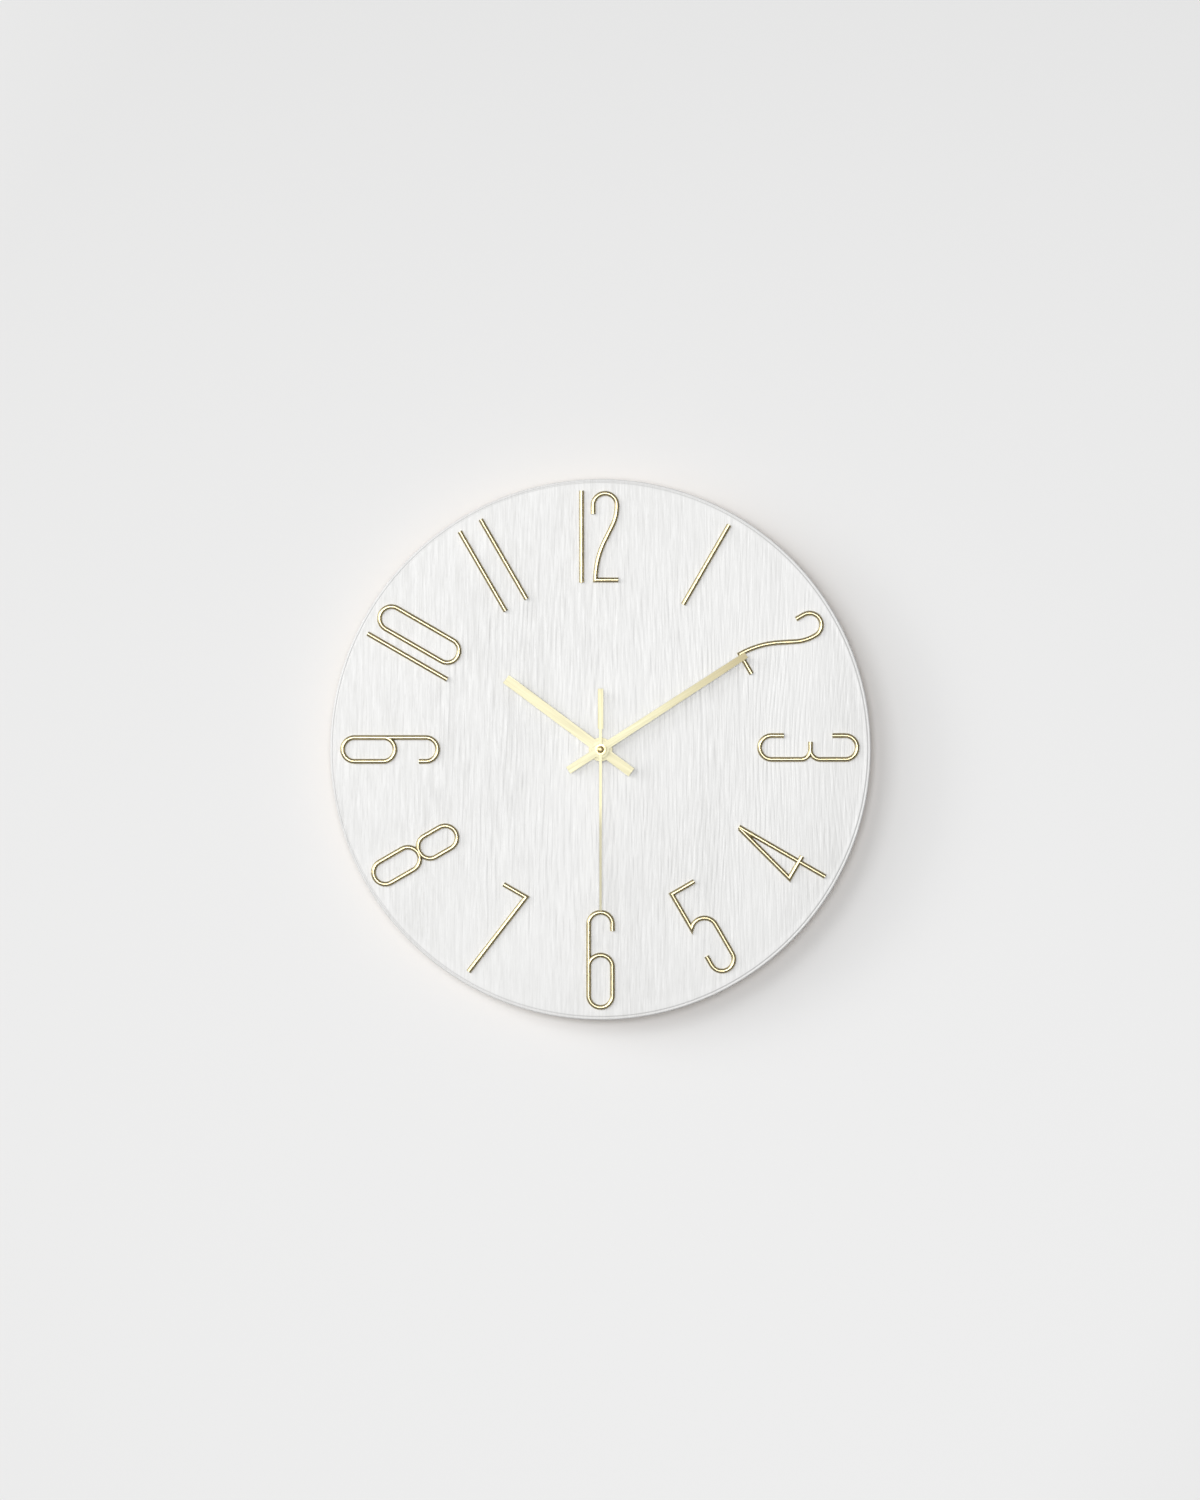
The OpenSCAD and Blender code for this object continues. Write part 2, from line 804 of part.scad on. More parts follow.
// Plate posts, bridge and stator posts, and the pads and pins under the circuit board
module case_posts() {
    pad_r = 1.2;
    pin_proud = 0.4;
    intersection() {
        for (at = plate_posts) translate([at[0], at[1], 0]) rod(plate_post_r, wall_t, plate_z);
        linear_extrude(case_d) case_outline(0);
    }
    for (at = bridge_posts) translate([at[0], at[1], 0]) {
        rod(post_r, wall_t, bridge_z);
        rod(rivet_r, bridge_z, bridge_z + bridge_t + pin_proud);
    }
    for (at = stator_posts) translate([at[0], at[1], 0]) rod(post_r, wall_t, stator_z);
    for (at = board_pins) translate([at[0], at[1], 0]) {
        rod(pad_r, wall_t, pcb_z);
        rod(board_pin_r, pcb_z, pcb_z + pcb_t + pin_proud);
    }
    for (at = [intermediate_at, rotor_at, third_at]) bearing_boss(at, pivot_r);
    bearing_boss(axis_at, shaft_r);
}

module movement_case() {
    well_wall = 1;
    slot_w = strip_t + free_fit;
    color(black_plastic) upright() difference() {
        union() {
            case_shell();
            case_posts();
            translate([set_at[0], set_at[1], 0])
                cylinder(r = well_r + well_wall, h = well_d + wall_t);
        }
        translate([set_at[0], set_at[1], -cut]) {
            cylinder(r = well_r, h = well_d + cut);
            cylinder(r = set_arbor_r + running_fit, h = case_d);
        }
        for (at = [intermediate_at, rotor_at, third_at]) bearing_hole(at, pivot_r);
        bearing_hole(axis_at, shaft_r);
        for (at = plate_posts)
            translate([at[0], at[1], case_d - screw_l]) cylinder(r = screw_r, h = case_d);
        translate([-inner_w / 2, bay_top - cut, wall_t])
            cube([slot_w, bay_wall + 2 * cut, tail_h + free_fit]);
        translate([inner_w / 2 - slot_w, bay_top - cut, pcb_z])
            cube([slot_w, bay_wall + 2 * cut, tail_h + free_fit]);
    }
}

// Lug on the case's top edge, with a keyhole for a nail or a screw head
module hanging_lug() {
    color(black_plastic) upright() difference() {
        union() {
            translate([-lug_r, case_top, 0]) cube([2 * lug_r, lug_top - lug_r - case_top, lug_t]);
            translate([0, lug_top - lug_r, 0]) intersection() {
                cylinder(r = lug_r, h = lug_t);
                translate([-lug_r, 0, 0]) cube([2 * lug_r, lug_r, lug_t]);
            }
        }
        keyhole();
    }
}

module movement_front_plate() {
    rim_fit = 0.1;
    color(black_plastic) upright() translate([0, 0, plate_z]) difference() {
        linear_extrude(plate_t) case_outline(wall_t + rim_fit);
        translate([0, 0, -cut]) cylinder(r = thread_r + running_fit, h = plate_t + 2 * cut);
        for (at = plate_posts) translate([at[0], at[1], -cut]) {
            cylinder(r = screw_r + running_fit, h = plate_t + 2 * cut);
            translate([0, 0, cut + plate_t - screw_head_t])
                cylinder(r = screw_head_r + running_fit, h = plate_t);
        }
    }
}

module plate_screws() {
    cross_l = 1.8;
    cross_w = 0.4;
    cross_d = 0.35;
    color(steel) upright() for (at = plate_posts) translate([at[0], at[1], 0]) difference() {
        union() {
            rod(screw_head_r, case_d - screw_head_t, case_d);
            rod(screw_r, case_d - screw_l, case_d - screw_head_t);
        }
        translate([0, 0, case_d]) {
            cube([cross_l, cross_w, 2 * cross_d], center = true);
            cube([cross_w, cross_l, 2 * cross_d], center = true);
        }
    }
}

// Plate that holds the front pivots. Its stud carries the minute wheel.
module train_bridge() {
    pad_r = 2.6;
    stud_top = minute_wheel_z + wheel_t + minute_pinion_h + 0.5;
    shoulder = [13.5, 16];
    color(white_plastic) upright() {
        translate([0, 0, bridge_z]) linear_extrude(bridge_t) difference() {
            union() {
                polygon([
                    bridge_posts[0], bridge_posts[1], bridge_posts[3], shoulder, bridge_posts[2],
                    [-1, 17.8], [-12.5, 17.2], [-14, 4]
                ]);
                for (at = bridge_posts) translate(at) circle(pad_r);
            }
            circle(minute_tail_r + running_fit);
            for (at = [intermediate_at, rotor_at, third_at])
                translate(at) circle(pivot_r + running_fit);
            translate(set_at) circle(set_arbor_r + running_fit);
            for (at = bridge_posts) translate(at) circle(rivet_r + running_fit);
        }
        translate([minute_wheel_at[0], minute_wheel_at[1], 0])
            rod(stud_r, bridge_z + bridge_t, stud_top);
    }
}

// ---------- Battery and contacts ----------

sleeve_t = 0.2;
nub_l = 1;
nub_r = 2.75;
contact_gap = 0.05;
tail_h = 1.6;
leaf_bow = contact_room - strip_t - contact_gap;
leaf_w = 6;

module along_cell() translate([-cell_l / 2, cell_y, cell_z]) rotate([0, 90, 0]) children();

module battery_can() {
    can_r = cell_d / 2 - sleeve_t;
    can_l = cell_l - nub_l;
    bevel = 0.5;
    color(steel) upright() along_cell() rotate_extrude() polygon([
        [0, 0], [can_r - bevel, 0], [can_r, bevel], [can_r, can_l - bevel],
        [can_r - bevel, can_l], [nub_r, can_l], [nub_r, cell_l], [0, cell_l]
    ]);
}

module battery_sleeve() {
    margin = 0.8;
    color("#3a7d44") upright() along_cell()
        tube(cell_d / 2, cell_d / 2 - sleeve_t, margin, cell_l - nub_l - margin);
}

// Bowed leaf that stands on a wall of the bay and presses on the cell's end
module contact_leaf() {
    foot = 2.5;
    low = pcb_z + 0.4;
    high = 2 * cell_z - low;
    translate([0, cell_y + leaf_w / 2, 0]) rotate([90, 0, 0]) linear_extrude(leaf_w) polygon([
        [0, low], [strip_t, low], [strip_t, low + foot],
        [strip_t + leaf_bow, cell_z],
        [strip_t, high - foot], [strip_t, high], [0, high], [0, high - foot],
        [leaf_bow, cell_z], [0, low + foot]
    ]);
}

// The leaf's tail goes through the bay wall and along the floor to the board's underside
module contact_negative() {
    run_y = room_bottom + 0.1;
    run_w = 1.5;
    pad_l = 1.5;
    run_l = pcb_left + inner_w / 2 + pad_l;
    color("#c9ccd0") upright() translate([-inner_w / 2, 0, 0]) {
        contact_leaf();
        translate([0, cell_y, wall_t]) cube([strip_t, run_y + run_w - cell_y, tail_h]);
        translate([0, run_y, wall_t]) cube([run_l, run_w, strip_t]);
        translate([run_l - pad_l, run_y, wall_t])
            cube([pad_l, pcb_bottom + pad_l - run_y, strip_t]);
        translate([run_l - pad_l, pcb_bottom, wall_t]) cube([pad_l, pad_l, pcb_z - wall_t]);
    }
}

module contact_positive() {
    lap = 3;
    color("#c9ccd0") upright() translate([inner_w / 2, 0, 0]) {
        mirror([1, 0, 0]) contact_leaf();
        translate([-strip_t, cell_y, pcb_z])
            cube([strip_t, pcb_bottom + lap - cell_y, pcb_t]);
    }
}

// ---------- Circuit board ----------

module circuit_board() {
    color("#2f6b3f") upright() translate([0, 0, pcb_z]) linear_extrude(pcb_t) difference() {
        translate([pcb_left, pcb_bottom]) square([pcb_right - pcb_left, pcb_top - pcb_bottom]);
        for (at = board_pins) translate(at) circle(board_pin_r + running_fit);
    }
}

// Small metal can that lies on the board, with a flat where it is soldered down
module quartz_crystal() {
    can_r = 1.4;
    can_l = 7;
    flat = 0.1;
    at = [pcb_right - 2.1, pcb_bottom + 1.6];
    color(steel) upright() intersection() {
        translate([at[0], at[1] + can_l, pcb_z + pcb_t + can_r - flat]) rotate([90, 0, 0])
            cylinder(r = can_r, h = can_l);
        translate([pcb_left, pcb_bottom, pcb_z + pcb_t]) cube([pcb_right, can_l * 2, can_r * 2]);
    }
}

module chip_blob() {
    blob_r = 2.4;
    blob_h = 1.1;
    ball_r = (blob_r * blob_r + blob_h * blob_h) / (2 * blob_h);
    at = [pcb_left + 3.4, pcb_bottom + 6.7];
    color("#161616") upright() translate([at[0], at[1], pcb_z + pcb_t]) intersection() {
        translate([0, 0, blob_h - ball_r]) sphere(ball_r);
        cylinder(r = blob_r + cut, h = blob_h + cut);
    }
}

// ---------- Stepping motor ----------

module along_coil() translate([0, core_y, core_z + stator_t / 2]) rotate([0, 90, 0]) children();

module coil_bobbin() {
    color(white_plastic) upright() difference() {
        along_coil() {
            rod(bobbin_r, bobbin_left, bobbin_right);
            rod(flange_r, bobbin_left, bobbin_left + flange_t);
            rod(flange_r, bobbin_right - flange_t, bobbin_right);
        }
        translate([bobbin_left - cut, core_y - core_w / 2 - running_fit, core_z - running_fit])
            cube([
                bobbin_right - bobbin_left + 2 * cut,
                core_w + 2 * running_fit,
                stator_t + 2 * running_fit
            ]);
    }
}

module coil_winding() {
    color("#b4622d") upright() along_coil()
        tube(winding_r, bobbin_r, bobbin_left + flange_t, bobbin_right - flange_t);
}

module coil_core() {
    color(steel) upright() translate([stator_left, core_y - core_w / 2, core_z])
        cube([stator_right - stator_left, core_w, stator_t]);
}

module stator_plate() {
    left_arm_w = 3;
    right_arm_w = 2.6;
    air_gap = 0.4;
    color(steel) upright() translate([0, 0, stator_z]) linear_extrude(stator_t) difference() {
        union() {
            translate([stator_left, stator_bottom])
                square([stator_right - stator_left, stator_top - stator_bottom]);
            translate([stator_left, stator_bottom]) square([left_arm_w, arm_top - stator_bottom]);
            translate([stator_right - right_arm_w, stator_bottom])
                square([right_arm_w, arm_top - stator_bottom]);
        }
        translate(rotor_at) circle(magnet_r + air_gap);
    }
}

hub_r = 0.8;

module rotor_magnet() {
    color("#4a4a4f") upright() translate([rotor_at[0], rotor_at[1], 0])
        tube(magnet_r, hub_r, magnet_z, magnet_z + magnet_h);
}

module rotor_pinion() {
    collar_r = 1.3;
    color(white_plastic) upright() translate([rotor_at[0], rotor_at[1], 0]) {
        rod(pivot_r, pivot_foot_z, pivot_top_z);
        rod(hub_r, rotor_pinion_z, magnet_z + magnet_h);
        rod(collar_r, rotor_pinion_top, magnet_z);
        translate([0, 0, rotor_pinion_z])
            pinion(rotor_teeth, rotor_module, rotor_pinion_top - rotor_pinion_z, rotor_phase);
    }
}

// ---------- Gear train ----------

module intermediate_wheel() {
    color(white_plastic) upright() translate([intermediate_at[0], intermediate_at[1], 0]) {
        rod(pivot_r, pivot_foot_z, pivot_top_z);
        translate([0, 0, intermediate_pinion_z]) pinion(
            pinion_teeth, second_module,
            intermediate_wheel_z - intermediate_pinion_z, intermediate_pinion_phase
        );
        translate([0, 0, intermediate_wheel_z])
            gear(intermediate_teeth, rotor_module, wheel_t);
    }
}

module second_shaft() color(steel) upright() rod(shaft_r, pivot_foot_z, cap_z);

module second_wheel() {
    color(white_plastic) upright() difference() {
        union() {
            translate([0, 0, second_wheel_z])
                gear(second_teeth, second_module, wheel_t, second_phase);
            rod(hub_r, second_wheel_z, second_pinion_top);
            translate([0, 0, second_pinion_z]) pinion(
                pinion_teeth, third_module, second_pinion_top - second_pinion_z, second_phase
            );
        }
        rod(shaft_r, 0, case_d);
    }
}

module third_wheel() {
    color(white_plastic) upright() translate([third_at[0], third_at[1], 0]) {
        rod(pivot_r, pivot_foot_z, pivot_top_z);
        translate([0, 0, third_wheel_z]) gear(third_teeth, third_module, wheel_t, third_phase);
        translate([0, 0, third_wheel_z + wheel_t]) pinion(
            pinion_teeth, center_module, third_pinion_top - third_wheel_z - wheel_t
        );
    }
}

// The centre wheel slips on the minute pipe when the hands are set
module center_wheel() {
    collar_r = 2;
    collar_h = 0.4;
    color(white_plastic) upright() difference() {
        union() {
            translate([0, 0, center_wheel_z])
                gear(center_teeth, center_module, wheel_t, center_phase);
            rod(collar_r, center_wheel_z, center_wheel_z + wheel_t + collar_h);
        }
        rod(minute_tail_r + running_fit, 0, case_d);
    }
}

module minute_pipe() {
    color(brass) upright() difference() {
        union() {
            rod(minute_tail_r, minute_pipe_z, cannon_z);
            translate([0, 0, cannon_z]) pinion(cannon_teeth, motion_module, cannon_h);
            rod(minute_pipe_r, cannon_z + cannon_h, minute_z + hand_t);
        }
        rod(minute_bore_r, 0, cap_z);
    }
}

module minute_wheel() {
    spacer_r = 1.4;
    spacer_gap = 0.1;
    pinion_z = minute_wheel_z + wheel_t;
    color(white_plastic) upright() translate([minute_wheel_at[0], minute_wheel_at[1], 0])
        difference() {
            union() {
                rod(spacer_r, bridge_z + bridge_t + spacer_gap, minute_wheel_z);
                translate([0, 0, minute_wheel_z])
                    gear(minute_teeth, motion_module, wheel_t, minute_wheel_phase);
                translate([0, 0, pinion_z]) pinion(pinion_teeth, hour_module, minute_pinion_h);
            }
            rod(stud_r + running_fit, 0, case_d);
        }
}

module hour_wheel() {
    color(white_plastic) upright() difference() {
        union() {
            translate([0, 0, hour_wheel_z]) gear(hour_teeth, hour_module, wheel_t, hour_phase);
            rod(hour_pipe_r, hour_wheel_z, hour_z + hand_t);
        }
        rod(hour_bore_r, 0, cap_z);
    }
}

// Knurled knob in the well, on the arbor that runs up through the bridge
module set_knob() {
    grooves = 36;
    groove_d = 0.3;
    color(black_plastic) upright() translate([set_at[0], set_at[1], 0]) {
        translate([0, 0, knob_z]) linear_extrude(knob_h) polygon([
            for (i = [0 : 2 * grooves - 1]) polar(knob_r - i % 2 * groove_d, 180 / grooves * i)
        ]);
        rod(set_arbor_r, knob_z, set_pinion_z + set_pinion_h);
    }
}

module set_pinion() {
    color(white_plastic) upright() translate([set_at[0], set_at[1], 0]) difference() {
        translate([0, 0, set_pinion_z]) pinion(set_teeth, motion_module, set_pinion_h, set_phase);
        rod(set_arbor_r, 0, case_d);
    }
}

dial_board();
face_film();
numeral_1();
numeral_2();
numeral_3();
numeral_4();
numeral_5();
numeral_6();
numeral_7();
numeral_8();
numeral_9();
numeral_10_one();
numeral_10_zero();
numeral_11_left();
numeral_11_right();
numeral_12_one();
numeral_12_two();
hour_hand();
minute_hand();
second_hand();
second_hand_cap();
rubber_gasket();
dial_washer();
hex_nut();
threaded_bushing();
movement_case();
hanging_lug();
movement_front_plate();
plate_screws();
train_bridge();
battery_can();
battery_sleeve();
contact_positive();
contact_negative();
circuit_board();
quartz_crystal();
chip_blob();
coil_bobbin();
coil_winding();
coil_core();
stator_plate();
rotor_magnet();
rotor_pinion();
intermediate_wheel();
second_shaft();
second_wheel();
third_wheel();
center_wheel();
minute_pipe();
minute_wheel();
hour_wheel();
set_knob();
set_pinion();
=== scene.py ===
import math

import bmesh
import bpy
import numpy as np
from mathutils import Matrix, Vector


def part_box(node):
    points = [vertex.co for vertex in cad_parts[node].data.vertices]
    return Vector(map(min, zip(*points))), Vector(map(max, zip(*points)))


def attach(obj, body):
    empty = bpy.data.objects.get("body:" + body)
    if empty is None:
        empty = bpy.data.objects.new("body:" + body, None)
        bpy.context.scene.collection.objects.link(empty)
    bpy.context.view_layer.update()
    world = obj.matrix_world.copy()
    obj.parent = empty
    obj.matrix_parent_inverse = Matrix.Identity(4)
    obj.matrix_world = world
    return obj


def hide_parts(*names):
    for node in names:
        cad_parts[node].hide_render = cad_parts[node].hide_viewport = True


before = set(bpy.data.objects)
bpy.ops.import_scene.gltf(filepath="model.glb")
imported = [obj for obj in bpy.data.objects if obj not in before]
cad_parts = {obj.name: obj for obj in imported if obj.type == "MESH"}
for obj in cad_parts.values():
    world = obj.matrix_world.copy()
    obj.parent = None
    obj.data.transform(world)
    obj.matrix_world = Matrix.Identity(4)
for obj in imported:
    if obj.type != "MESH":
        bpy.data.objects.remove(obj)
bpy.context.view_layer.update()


BODY = "dial_and_movement"
MM = 0.001

# ---------- Camera and light ----------
# The clock hangs on the wall plane y = 0 and faces -Y, so its face is seen straight on.

film_lo, film_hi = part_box("face_film")
board_lo, board_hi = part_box("dial_board")
face_y = film_lo[1]
rim_r = (film_hi[0] - film_lo[0]) / 2

LENS = 85
SENSOR = 36
# Height of the frame at the dial, in metres
FRAME_H = 0.8318
# The dial's centre lies this far above and right of the middle of the frame
OFF_MIDDLE = 0.0003
camera_data = bpy.data.cameras.new("camera")
camera_data.lens = LENS
camera_data.sensor_width = SENSOR
camera_data.clip_start = 0.01
camera_data.clip_end = 100
camera = bpy.data.objects.new("camera", camera_data)
camera.location = (-OFF_MIDDLE, face_y - FRAME_H * LENS / SENSOR, -OFF_MIDDLE)
camera.rotation_euler = (math.radians(90), 0, 0)
bpy.context.scene.collection.objects.link(camera)
bpy.context.scene.camera = camera
bpy.context.scene.view_settings.view_transform = "Standard"


def area_light(name, place, watts, width, height, color=(1, 1, 1)):
    """A soft box that points at the clock's centre."""
    data = bpy.data.lights.new(name, "AREA")
    data.shape = "RECTANGLE"
    data.size = width
    data.size_y = height
    data.energy = watts
    data.color = color
    light = bpy.data.objects.new(name, data)
    light.location = place
    light.rotation_euler = (-Vector(place)).to_track_quat("-Z", "Y").to_euler()
    bpy.context.scene.collection.objects.link(light)


WARM = (1, 0.995, 0.985)
area_light("key_light", (-1.70, -3.20, 0.95), 40, 1.4, 1.4, WARM)
area_light("window_light", (-2.20, -1.55, 0.90), 18, 1.4, 1.2, WARM)
area_light("side_light", (-2.10, -0.90, 0.40), 10, 0.7, 1.3, WARM)
area_light("front_light", (-0.12, -3.3, 0.10), 60, 0.95, 0.95)
area_light("rear_light", (-0.55, 1.9, 0.75), 18, 1.2, 1.2)

# The surroundings light the clock dimly, and are seen as a pale backdrop where no wall is.

world = bpy.data.worlds.new("studio")
world.use_nodes = True
bpy.context.scene.world = world
sky = world.node_tree
sky.nodes.clear()
sky_out = sky.nodes.new("ShaderNodeOutputWorld")
sky_mix = sky.nodes.new("ShaderNodeMixShader")
sky_path = sky.nodes.new("ShaderNodeLightPath")
sky_dim = sky.nodes.new("ShaderNodeBackground")
sky_seen = sky.nodes.new("ShaderNodeBackground")
sky_dim.inputs["Color"].default_value = (0.95, 0.97, 1.0, 1)
sky_dim.inputs["Strength"].default_value = 0.10
sky_seen.inputs["Color"].default_value = (0.80, 0.80, 0.80, 1)
sky.links.new(sky_path.outputs["Is Camera Ray"], sky_mix.inputs[0])
sky.links.new(sky_dim.outputs[0], sky_mix.inputs[1])
sky.links.new(sky_seen.outputs[0], sky_mix.inputs[2])
sky.links.new(sky_mix.outputs[0], sky_out.inputs[0])

# ---------- Materials ----------


class Shade:
    """A Principled material with helpers that add noise, colour ramps and bump."""

    def __init__(self, name, color, rough, metal=0.0, **sockets):
        self.mat = bpy.data.materials.new(name)
        self.mat.use_nodes = True
        self.tree = self.mat.node_tree
        self.bsdf = self.tree.nodes["Principled BSDF"]
        self.color = color
        self.set("Base Color", (*color, 1))
        self.set("Roughness", rough)
        self.set("Metallic", metal)
        for socket, value in sockets.items():
            self.set(socket.replace("_", " "), value)

    def set(self, socket, value):
        self.bsdf.inputs[socket].default_value = value

    def node(self, kind, **inputs):
        made = self.tree.nodes.new("ShaderNode" + kind)
        for socket, value in inputs.items():
            made.inputs[socket.replace("_", " ")].default_value = value
        return made

    def link(self, out, into):
        self.tree.links.new(out, into)

    def place(self, scale=(1, 1, 1), turn=0.0):
        """Object coordinates, turned about Y first and then scaled along each axis."""
        coord = self.node("TexCoord")
        turned = self.node("Mapping")
        turned.inputs["Rotation"].default_value = (0, turn, 0)
        self.link(coord.outputs["Object"], turned.inputs["Vector"])
        scaled = self.node("Mapping")
        scaled.inputs["Scale"].default_value = scale
        self.link(turned.outputs[0], scaled.inputs["Vector"])
        return scaled.outputs[0]

    def noise(self, scale, detail=3.0, rough=0.55, stretch=(1, 1, 1), turn=0.0, distort=0.0):
        made = self.node(
            "TexNoise", Scale=scale, Detail=detail, Roughness=rough, Distortion=distort)
        self.link(self.place(stretch, turn), made.inputs["Vector"])
        return made.outputs["Fac"]

    def voronoi(self, scale, stretch=(1, 1, 1)):
        made = self.node("TexVoronoi", Scale=scale)
        self.link(self.place(stretch), made.inputs["Vector"])
        return made.outputs["Distance"]

    def rings(self, centre, pitch):
        """Turning marks: a wave of the distance from an axis along Y."""
        coord = self.node("TexCoord")
        moved = self.node("Mapping")
        moved.inputs["Location"].default_value = (-centre[0], 0, -centre[1])
        moved.inputs["Scale"].default_value = (1, 0, 1)
        self.link(coord.outputs["Object"], moved.inputs["Vector"])
        length = self.tree.nodes.new("ShaderNodeVectorMath")
        length.operation = "LENGTH"
        self.link(moved.outputs[0], length.inputs[0])
        turns = self.math("MULTIPLY", length.outputs["Value"], 2 * math.pi / pitch)
        return self.math("MULTIPLY_ADD", self.math("SINE", turns), 0.5, 0.5)

    def math(self, how, a, b=0.0, c=0.0):
        made = self.tree.nodes.new("ShaderNodeMath")
        made.operation = how
        for i, value in enumerate((a, b, c)):
            if isinstance(value, (int, float)):
                made.inputs[i].default_value = value
            else:
                self.link(value, made.inputs[i])
        return made.outputs[0]

    def ramp(self, fac, low, high, a=0.0, b=1.0):
        made = self.node("MapRange")
        self.link(fac, made.inputs["Value"])
        for socket, value in (("From Min", a), ("From Max", b), ("To Min", low), ("To Max", high)):
            made.inputs[socket].default_value = value
        return made.outputs["Result"]

    def tint(self, fac, other, low=0.35, high=0.65):
        """Blends the base colour towards another where fac is high."""
        made = self.tree.nodes.new("ShaderNodeMix")
        made.data_type = "RGBA"
        self.link(self.ramp(fac, 0.0, 1.0, low, high), made.inputs["Factor"])
        old = self.bsdf.inputs["Base Color"]
        if old.is_linked:
            self.link(old.links[0].from_socket, made.inputs["A"])
        else:
            made.inputs["A"].default_value = (*self.color, 1)
        made.inputs["B"].default_value = (*other, 1)
        self.link(made.outputs["Result"], old)
        return self

    def sheen_of(self, fac, low, high, a=0.3, b=0.7):
        self.link(self.ramp(fac, low, high, a, b), self.bsdf.inputs["Roughness"])
        return self

    def bump(self, fac, depth_mm, strength=1.0):
        made = self.tree.nodes.new("ShaderNodeBump")
        made.inputs["Strength"].default_value = strength
        made.inputs["Distance"].default_value = depth_mm * MM
        self.link(fac, made.inputs["Height"])
        old = self.bsdf.inputs["Normal"]
        if old.is_linked:
            self.link(old.links[0].from_socket, made.inputs["Normal"])
        self.link(made.outputs["Normal"], old)
        return self


def film_material():
    """White film, greyed down in the grain that "pressed" marks on the mesh: partly printed grain,
    partly painted shade in the hollows.
    """
    s = Shade("film_embossed", (0.705, 0.704, 0.698), 0.42, Coat_Weight=0.10, Coat_Roughness=0.34)
    pressed = s.node("Attribute")
    pressed.attribute_name = "pressed"
    # Painted shade: the film is greyed where the grain is pressed deeper, on top of the printed
    # grain.
    s.tint(pressed.outputs["Fac"], (0.56, 0.558, 0.548), 0.34, 0.97)
    fibre = s.noise(1250, 4, 0.6, (1.0, 0.02, 0.05), 0.0, 0.30)
    pores = s.noise(1500, 2, 0.5, (1.0, 0.02, 0.14))
    clouds = s.noise(14, 2, 0.5, (1.0, 1.0, 0.35))
    s.tint(fibre, (0.635, 0.633, 0.623), 0.42, 0.74)
    s.tint(pores, (0.60, 0.597, 0.586), 0.60, 0.80)
    s.tint(clouds, (0.725, 0.724, 0.718), 0.40, 0.70)
    s.sheen_of(fibre, 0.36, 0.50)
    s.bump(fibre, 0.10, 0.8)
    s.bump(pores, 0.05, 0.6)
    s.bump(s.noise(9000, 2, 0.5), 0.004, 0.5)
    return s.mat


def board_material():
    s = Shade("fibreboard", (0.47, 0.365, 0.255), 0.88)
    s.tint(s.noise(2600, 3, 0.7, (1.0, 1.0, 0.35)), (0.31, 0.22, 0.14), 0.50, 0.70)
    s.tint(s.noise(1900, 3, 0.7, (0.3, 1.0, 1.0)), (0.60, 0.49, 0.36), 0.55, 0.75)
    s.tint(s.noise(9, 3, 0.6), (0.42, 0.32, 0.22), 0.40, 0.70)
    s.bump(s.noise(3200, 4, 0.7), 0.05, 0.8)
    s.bump(s.noise(160, 2, 0.5), 0.08, 0.4)
    return s.mat


def numeral_material():
    s = Shade("numeral_brass", (0.58, 0.50, 0.31), 0.37, 1.0)
    s.tint(s.noise(90, 3, 0.6), (0.49, 0.42, 0.25), 0.40, 0.75)
    s.tint(s.noise(1400, 2, 0.6), (0.63, 0.56, 0.37), 0.50, 0.80)
    s.sheen_of(s.noise(700, 3, 0.6), 0.33, 0.41)
    s.bump(s.noise(2500, 2, 0.6), 0.0015, 0.5)
    return s.mat


def hand_material(name, turn, color, worn, far=None, near_mm=30, far_mm=90):
    """Matte gold brushed along the hand; away from the axis it drifts to the far colour, painted
    shade that darkens the hand towards its tip.
    """
    s = Shade(name, color, 0.62, 1.0)
    # Painted shade: the colour darkens from near_mm to far_mm out from the axis.
    if far:
        reach = s.tree.nodes.new("ShaderNodeVectorMath")
        reach.operation = "LENGTH"
        s.link(s.place((1, 0, 1)), reach.inputs[0])
        s.tint(reach.outputs["Value"], far, near_mm * MM, far_mm * MM)
    brushed = s.noise(2600, 3, 0.65, (1.0, 1.0, 0.012), turn)
    s.tint(s.math("MULTIPLY", brushed, 0.8), worn, 0.36, 0.80)
    s.sheen_of(brushed, 0.58, 0.67)
    s.bump(brushed, 0.008, 0.6)
    s.bump(s.noise(300, 2, 0.5), 0.01, 0.25)
    return s.mat


def turned_material(name, color, rough, pitch, centre=(0, 0)):
    s = Shade(name, color, rough, 1.0)
    s.tint(s.noise(260, 3, 0.6), tuple(v * 0.82 for v in color), 0.45, 0.75)
    s.sheen_of(s.noise(1500, 3, 0.6), rough * 0.8, rough * 1.35)
    s.bump(s.rings(centre, pitch * MM), 0.006, 0.6)
    s.bump(s.noise(4000, 2, 0.5), 0.002, 0.5)
    return s.mat


def rubber_material():
    s = Shade("gasket_black", (0.018, 0.018, 0.018), 0.72, Specular_IOR_Level=0.35)
    s.tint(s.noise(400, 3, 0.6), (0.035, 0.034, 0.033), 0.45, 0.75)
    s.sheen_of(s.noise(900, 3, 0.6), 0.62, 0.82)
    s.bump(s.noise(2600, 3, 0.6), 0.02, 0.6)
    return s.mat


def case_material():
    s = Shade("case_black", (0.022, 0.022, 0.024), 0.46)
    s.tint(s.noise(38, 3, 0.6), (0.034, 0.034, 0.036), 0.40, 0.75)
    s.tint(s.noise(620, 3, 0.7, (1.0, 1.0, 0.08), 0.5), (0.055, 0.055, 0.057), 0.68, 0.80)
    s.sheen_of(s.noise(130, 3, 0.6), 0.38, 0.56)
    s.bump(s.voronoi(4200), 0.012, 0.7)
    s.bump(s.noise(30, 2, 0.5), 0.05, 0.25)
    return s.mat


